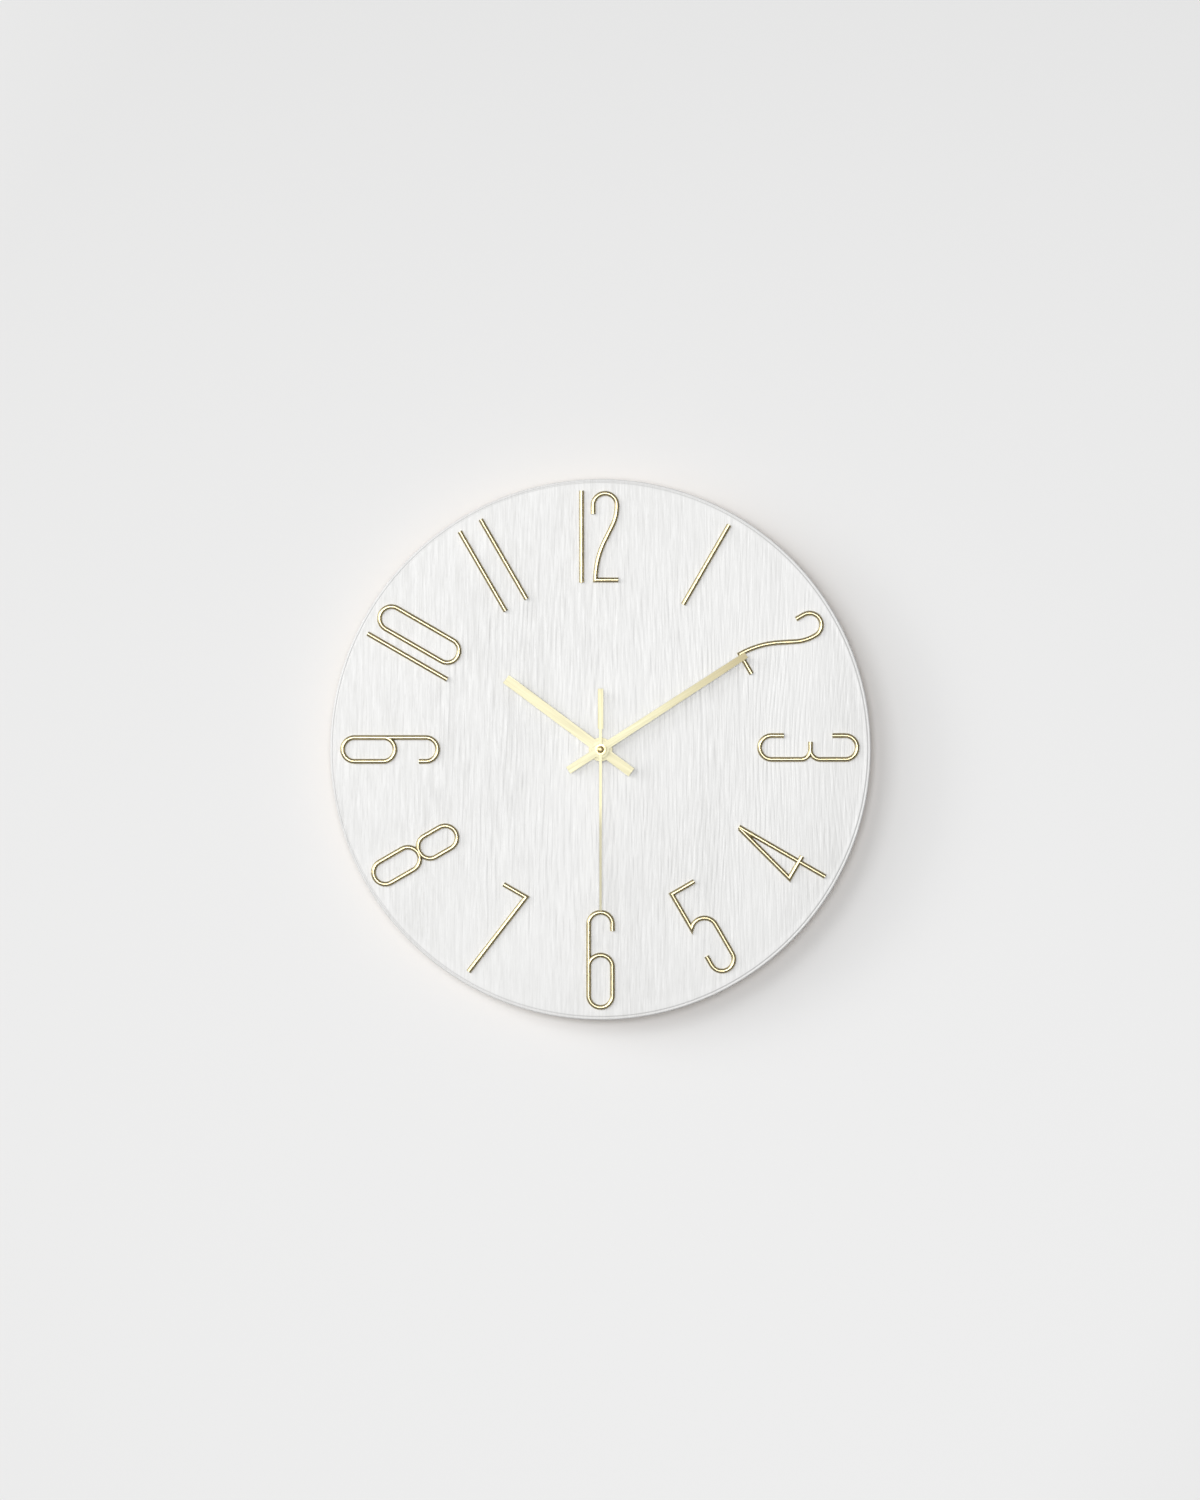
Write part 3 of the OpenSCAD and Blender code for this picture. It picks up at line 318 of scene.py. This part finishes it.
def acetal_material():
    s = Shade("acetal", (0.80, 0.785, 0.72), 0.38, Subsurface_Weight=0.15, Subsurface_Scale=0.001)
    s.tint(s.noise(200, 3, 0.6), (0.73, 0.71, 0.63), 0.45, 0.75)
    s.sheen_of(s.noise(500, 2, 0.6), 0.32, 0.48)
    s.bump(s.noise(1800, 3, 0.6), 0.006, 0.6)
    return s.mat


def sheet_material(name, color, rough, stretch):
    s = Shade(name, color, rough, 1.0)
    rolled = s.noise(3200, 3, 0.6, stretch)
    s.tint(rolled, tuple(v * 0.8 for v in color), 0.45, 0.75)
    s.tint(s.noise(150, 3, 0.6), tuple(v * 0.88 for v in color), 0.50, 0.80)
    s.sheen_of(rolled, rough * 0.8, rough * 1.3)
    s.bump(rolled, 0.006, 0.6)
    return s.mat


def sleeve_material():
    s = Shade("cell_sleeve_green", (0.045, 0.19, 0.085), 0.28, Coat_Weight=0.4, Coat_Roughness=0.12)
    s.tint(s.noise(70, 2, 0.5), (0.055, 0.215, 0.10), 0.40, 0.75)
    s.sheen_of(s.noise(600, 3, 0.6), 0.22, 0.36)
    s.bump(s.noise(900, 2, 0.5, (0.1, 1.0, 1.0)), 0.006, 0.5)
    return s.mat


def laminate_material():
    s = Shade("board_green", (0.035, 0.17, 0.07), 0.34, Coat_Weight=0.3, Coat_Roughness=0.15)
    warp = s.noise(2600, 1, 0.5, (1, 1, 0.1))
    weft = s.noise(2600, 1, 0.5, (0.1, 1, 1))
    weave = s.math("MULTIPLY", warp, weft)
    traces = s.noise(420, 0, 0.5, (1.0, 1.0, 0.18))
    s.tint(traces, (0.075, 0.27, 0.12), 0.50, 0.54)
    s.bump(weave, 0.02, 0.7)
    s.bump(s.ramp(traces, 0.0, 1.0, 0.50, 0.54), 0.03, 0.7)
    return s.mat


def epoxy_material():
    s = Shade("epoxy_black", (0.012, 0.012, 0.013), 0.16)
    s.tint(s.noise(700, 2, 0.5), (0.02, 0.02, 0.021), 0.45, 0.75)
    s.bump(s.noise(420, 2, 0.5), 0.05, 0.5)
    return s.mat


def winding_material():
    s = Shade("copper_winding", (0.66, 0.30, 0.13), 0.30, 0.85)
    coord = s.place((1, 1, 1))
    wave = s.node("TexWave", Scale=1300, Distortion=0.6, Detail=1)
    wave.bands_direction = "X"
    s.link(coord, wave.inputs["Vector"])
    s.tint(wave.outputs["Fac"], (0.42, 0.16, 0.06), 0.2, 0.7)
    s.bump(wave.outputs["Fac"], 0.06, 0.9)
    return s.mat


def magnet_material():
    s = Shade("ferrite", (0.085, 0.085, 0.09), 0.52, 0.6)
    s.tint(s.noise(900, 3, 0.7), (0.05, 0.05, 0.055), 0.45, 0.70)
    s.bump(s.noise(3600, 3, 0.7), 0.015, 0.7)
    return s.mat


BEVEL_FROM = math.radians(40)


def finish_node(node, mat, bevel_mm=0.0):
    """Puts a material on every slot of a carried-over piece, and softens its sharp edges."""
    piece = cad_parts[node]
    if piece.data.materials:
        for i in range(len(piece.data.materials)):
            piece.material_slots[i].material = mat
    else:
        piece.data.materials.append(mat)
    if bevel_mm:
        cut = piece.modifiers.new("soft_edge", "BEVEL")
        cut.width = bevel_mm * MM
        cut.segments = 2
        cut.limit_method = "ANGLE"
        cut.angle_limit = BEVEL_FROM


def turn_of(node):
    """Angle that a hand lies at, from its farthest point, so its brushing follows it."""
    far = max(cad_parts[node].data.vertices, key=lambda v: v.co.x ** 2 + v.co.z ** 2).co
    return -math.atan2(far.x, far.z)


# ---------- Face film with its pressed wood grain ----------

rng = np.random.default_rng(1207)
LATTICE = rng.uniform(-1, 1, (8, 256, 256))


def noise2(x, y, layer=0):
    """Smooth lattice noise between -1 and 1."""
    table = LATTICE[layer]
    xi, yi = np.floor(x).astype(int), np.floor(y).astype(int)
    fx, fy = x - xi, y - yi
    fx = fx * fx * (3 - 2 * fx)
    fy = fy * fy * (3 - 2 * fy)
    a = table[xi % 256, yi % 256]
    b = table[(xi + 1) % 256, yi % 256]
    c = table[xi % 256, (yi + 1) % 256]
    d = table[(xi + 1) % 256, (yi + 1) % 256]
    return (a * (1 - fx) + b * fx) * (1 - fy) + (c * (1 - fx) + d * fx) * fy


# Sizes from here to the end of film_mesh() are in mm, as x to the right and y up the face.
GRAIN_DEPTH = 0.30
# The nested arches of the grain stand round these hearts, and are lowest at these heights
HEARTS = (-139.0, -2.0, 141.0)
HEART_MIDDLES = (6.0, -22.0, -4.0)
RING_PITCH = 2.6
# The grain calms down between these radii
CALM_FROM, CALM_OVER = 84, 40


def grain_depth(x, y):
    """Depth that the grain is pressed in at a place on the face."""
    sway = 2.2 * noise2(x / 46, y / 130, 0) + 0.7 * noise2(x / 13, y / 60, 1)
    sway = sway + 0.45 * noise2(x / 5, y / 16, 2)
    ring = np.full_like(x, 1e9)
    for heart, middle in zip(HEARTS, HEART_MIDDLES):
        across = np.abs(x + sway - heart - 3.0 * noise2(y / 85, y * 0 + heart, 2))
        along = np.abs(0.135 * (y - middle) + 0.7 * noise2(x / 9, y / 26, 3))
        ring = np.minimum(ring, (across ** 1.35 + along ** 1.35) ** (1 / 1.35))
    ring = ring + 1.1 * noise2(ring / 5.0, y * 0 + 3, 4)
    phase = ring / RING_PITCH
    phase = phase - np.floor(phase)
    late = np.exp(-((phase - 0.5) / 0.17) ** 2)
    strong = 0.60 + 0.40 * noise2(x / 17, y / 75, 5)
    fibre = noise2((x + sway) / 0.95, y / 16, 6) + 0.7 * noise2((x + sway) / 0.6 + 40, y / 9, 7)
    broad = noise2((x + sway) / 3.4, y / 60, 3)
    calm = np.clip((np.hypot(x, 0.95 * y) - CALM_FROM) / CALM_OVER, 0, 1)
    figure = 0.088 * late * strong + 0.050 * fibre + 0.010 * broad
    depth = 0.095 + figure * (1 - 0.55 * calm * calm * (3 - 2 * calm))
    return np.clip(depth, 0.0, GRAIN_DEPTH)


# Radius past the flat of the face, and depth there: a fine groove that ends in a bead
GROOVE = ((0.50, 0.02), (0.70, 0.20), (0.85, 0.29), (1.05, 0.29), (1.25, 0.12), (1.55, 0.06))
BEAD_R, BEAD_DEPTH = 0.85, 0.80
# Rolled edge of the board under the film, and width of the band that holds groove and bead
ROLL, LIP = 1.6, 2.4
WASHER_LAP = 2.05
SMOOTH_TO = math.radians(50)


def film_mesh():
    """Closed shell: pressed front, rolled edge, side wall, and a flat inside on the board."""
    columns, rows, steps = 1400, 44, 6
    wall = (board_lo[1] - film_lo[1]) / MM
    rim = rim_r / MM
    flat = rim - LIP
    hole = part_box("dial_washer")[1][0] / MM - WASHER_LAP
    front, back = -face_y / MM, -board_hi[1] / MM
    inside = front - wall

    xs = flat * np.sin(np.linspace(-math.pi / 2, math.pi / 2, columns + 1))
    for edge in (-hole, hole):
        xs[np.argmin(np.abs(xs - edge))] = edge
    reach = np.sqrt(np.maximum(flat ** 2 - xs ** 2, 0))
    inner = np.sqrt(np.maximum(hole ** 2 - xs ** 2, 0))
    inner[np.abs(np.abs(xs) - hole) < 1e-9] = 0

    verts, faces = [], []

    def add(x, y, z):
        verts.append((x * MM, -z * MM, y * MM))
        return len(verts) - 1

    def sheet(z_of, count):
        """Grid of columns, whose upper and lower halves part round the hole."""
        upper, lower = [], []
        for i, x in enumerate(xs):
            if i in (0, columns):
                tip = add(x, 0.0, z_of(np.array([x]), np.array([0.0]))[0])
                upper.append([tip] * (count + 1))
                lower.append([tip] * (count + 1))
                continue
            t = np.linspace(0, 1, count + 1)
            ys = inner[i] + (reach[i] - inner[i]) * t
            zs = z_of(np.full_like(ys, x), ys)
            up = [add(x, y, z) for y, z in zip(ys, zs)]
            zs = z_of(np.full_like(ys, x), -ys)
            down = [up[0] if j == 0 and inner[i] == 0 else add(x, -y, z)
                    for j, (y, z) in enumerate(zip(ys, zs))]
            upper.append(up)
            lower.append(down)
        return upper, lower

    def quads(grid, flip):
        for i in range(columns):
            for j in range(len(grid[0]) - 1):
                ring = [grid[i][j], grid[i + 1][j], grid[i + 1][j + 1], grid[i][j + 1]]
                ring = list(dict.fromkeys(ring))
                if len(ring) > 2:
                    faces.append(ring[::-1] if flip else ring)

    def pressed(x, y):
        r = np.hypot(x, y)
        fade = np.clip((flat - r) / 1.5, 0, 1) * np.clip((r - hole - 1.5) / 1.5, 0, 1)
        return front - grain_depth(x, y) * fade

    def level(x, y):
        return np.full_like(x, inside)

    up, down = sheet(pressed, rows)
    quads(up, False)
    quads(down, True)
    up_in, down_in = sheet(level, 1)
    quads(up_in, True)
    quads(down_in, False)

    def outline(upper, lower):
        """Round the rim, anticlockwise from the right."""
        ring = [upper[i][-1] for i in range(columns, -1, -1)]
        return ring + [lower[i][-1] for i in range(1, columns)]

    def bridge(a, b):
        n = len(a)
        for i in range(n):
            ring = list(dict.fromkeys([a[i], b[i], b[(i + 1) % n], a[(i + 1) % n]]))
            if len(ring) > 2:
                faces.append(ring)

    outer, under = outline(up, down), outline(up_in, down_in)
    compass = [math.atan2(verts[v][2], verts[v][0]) for v in outer]

    def ring_at(r, z):
        return [add(r * math.cos(a), r * math.sin(a), z) for a in compass]

    rings = [outer]
    for r, sunk in GROOVE:
        rings.append(ring_at(flat + r, front - sunk))
    bead_low = front - GROOVE[-1][1] - BEAD_DEPTH
    for k in range(1, steps + 1):
        b = math.pi / 2 * k / steps
        r = rim - BEAD_R + BEAD_R * math.sin(b)
        rings.append(ring_at(r, bead_low + BEAD_DEPTH * math.cos(b)))
    rings.append(ring_at(rim, back))
    rings.append(ring_at(rim - wall, back))
    small = ROLL - wall
    for k in range(steps, -1, -1):
        b = math.pi / 2 * k / steps
        r = rim - ROLL + small * math.sin(b)
        rings.append(ring_at(r, inside - small + small * math.cos(b)))
    rings.append(under)
    for a, b in zip(rings, rings[1:]):
        bridge(a, b)

    def hole_ring(upper, lower):
        across = [i for i in range(columns + 1) if abs(xs[i]) <= hole + 1e-9]
        ring = [upper[i][0] for i in reversed(across)]
        return ring + [lower[i][0] for i in across[1:-1]]

    bridge(hole_ring(up_in, down_in), hole_ring(up, down))

    mesh = bpy.data.meshes.new("face_skin")
    mesh.from_pydata(verts, [], faces)
    mesh.validate()
    # How deep each point of the grain lies, as a share of the deepest; the film greys its colour by
    # it, as printed grain and painted shade in the hollows
    places = np.array([v.co for v in mesh.vertices]) / MM
    deep = np.clip((places[:, 1] + front) / GRAIN_DEPTH, 0, 1)
    deep[np.hypot(places[:, 0], places[:, 2]) > flat] = 0
    deep[deep > 0.999] = 0
    marks = mesh.attributes.new("pressed", "FLOAT", "POINT")
    marks.data.foreach_set("value", deep.astype(np.float32))
    work = bmesh.new()
    work.from_mesh(mesh)
    bmesh.ops.recalc_face_normals(work, faces=work.faces)
    for f in work.faces:
        f.smooth = True
    for e in work.edges:
        e.smooth = len(e.link_faces) != 2 or e.calc_face_angle(0) < SMOOTH_TO
    work.to_mesh(mesh)
    work.free()
    return mesh


skin = bpy.data.objects.new("face_skin", film_mesh())
bpy.context.scene.collection.objects.link(skin)
skin.data.materials.append(film_material())
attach(skin, BODY)
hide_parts("face_film")

# ---------- Finishes of the carried-over pieces ----------

brass = numeral_material()
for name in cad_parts:
    if name.startswith("numeral_"):
        finish_node(name, brass)

finish_node("dial_board", board_material())
finish_node("hour_hand", hand_material(
    "hour_hand_gold", turn_of("hour_hand"), (0.67, 0.635, 0.455), (0.63, 0.595, 0.41)), 0.07)
# The far colours and radii of the minute and second hands are painted shade towards their tips.
finish_node("minute_hand", hand_material(
    "minute_hand_gold", turn_of("minute_hand"), (0.69, 0.665, 0.48), (0.58, 0.54, 0.36),
    (0.44, 0.385, 0.24), 26, 96), 0.07)
finish_node("second_hand", hand_material(
    "second_hand_gold", turn_of("second_hand"), (0.70, 0.665, 0.46), (0.64, 0.60, 0.41),
    (0.48, 0.455, 0.34), 30, 44), 0.04)
finish_node("second_hand_cap", turned_material("cap_brass", (0.74, 0.59, 0.31), 0.42, 0.35), 0.06)
turned = turned_material("fixing_brass", (0.78, 0.62, 0.34), 0.26, 0.16)
for name in ("hex_nut", "dial_washer", "threaded_bushing", "minute_pipe"):
    finish_node(name, turned)
finish_node("rubber_gasket", rubber_material())
case = case_material()
finish_node("movement_case", case, 0.25)
finish_node("hanging_lug", case, 0.25)
finish_node("movement_front_plate", case, 0.15)
finish_node("set_knob", case, 0.08)
acetal = acetal_material()
for name in ("train_bridge", "coil_bobbin", "rotor_pinion", "intermediate_wheel",
             "second_wheel", "third_wheel", "center_wheel", "minute_wheel", "hour_wheel",
             "set_pinion"):
    finish_node(name, acetal)
steel = sheet_material("bright_steel", (0.60, 0.61, 0.63), 0.26, (1, 1, 0.05))
for name in ("plate_screws", "coil_core", "stator_plate", "second_shaft", "quartz_crystal"):
    finish_node(name, steel)
nickel = sheet_material("nickel_strip", (0.70, 0.69, 0.66), 0.22, (0.05, 1, 1))
finish_node("contact_positive", nickel)
finish_node("contact_negative", nickel)
finish_node("battery_can", sheet_material("cell_can", (0.64, 0.65, 0.67), 0.28, (1, 0.05, 0.05)), 0.1)
finish_node("battery_sleeve", sleeve_material())
finish_node("circuit_board", laminate_material())
finish_node("chip_blob", epoxy_material())
finish_node("coil_winding", winding_material())
finish_node("rotor_magnet", magnet_material())

# ---------- Wall ----------
# Painted plaster behind the clock. Seen from its back it is clear, so that the clock's own
# back can be looked at.
WALL_SIZE = 8.0
# It stands this far behind the case, so that the two never share a plane
WALL_GAP = 0.0005


def wall_material():
    """Matte paint that gets a little lighter to the right and down: painted light that evens out the
    lamps' fall-off on the wall.
    """
    s = Shade("wall_paint", (0.685, 0.685, 0.685), 0.75, Specular_IOR_Level=0.3)
    # Painted light: the paint lightens to the right and down, where the lamps on the left and above
    # reach less.
    split = s.node("SeparateXYZ")
    s.link(s.place((1.0, 1.0, -0.75)), split.inputs[0])
    away = s.math("ADD", split.outputs["X"], split.outputs["Z"])
    s.tint(s.ramp(away, 0.0, 1.0, -0.55, 0.55), (0.91, 0.91, 0.91), 0.0, 1.0)
    s.bump(s.noise(420, 3, 0.6), 0.05, 0.25)
    clear = s.node("BsdfTransparent")
    mix = s.node("MixShader")
    way = s.node("NewGeometry")
    path = s.node("LightPath")
    either = s.math("MAXIMUM", way.outputs["Backfacing"], path.outputs["Is Shadow Ray"])
    out = s.tree.nodes["Material Output"]
    s.link(either, mix.inputs[0])
    s.link(s.bsdf.outputs[0], mix.inputs[1])
    s.link(clear.outputs[0], mix.inputs[2])
    s.link(mix.outputs[0], out.inputs["Surface"])
    return s.mat


def wall_piece():
    half = WALL_SIZE / 2
    mesh = bpy.data.meshes.new("wall")
    corners = ((-half, -half), (half, -half), (half, half), (-half, half))
    mesh.from_pydata([(x, WALL_GAP, z) for x, z in corners], [], [(0, 1, 2, 3)])
    piece = bpy.data.objects.new("wall", mesh)
    mesh.materials.append(wall_material())
    bpy.context.scene.collection.objects.link(piece)
    return piece


wall_piece()
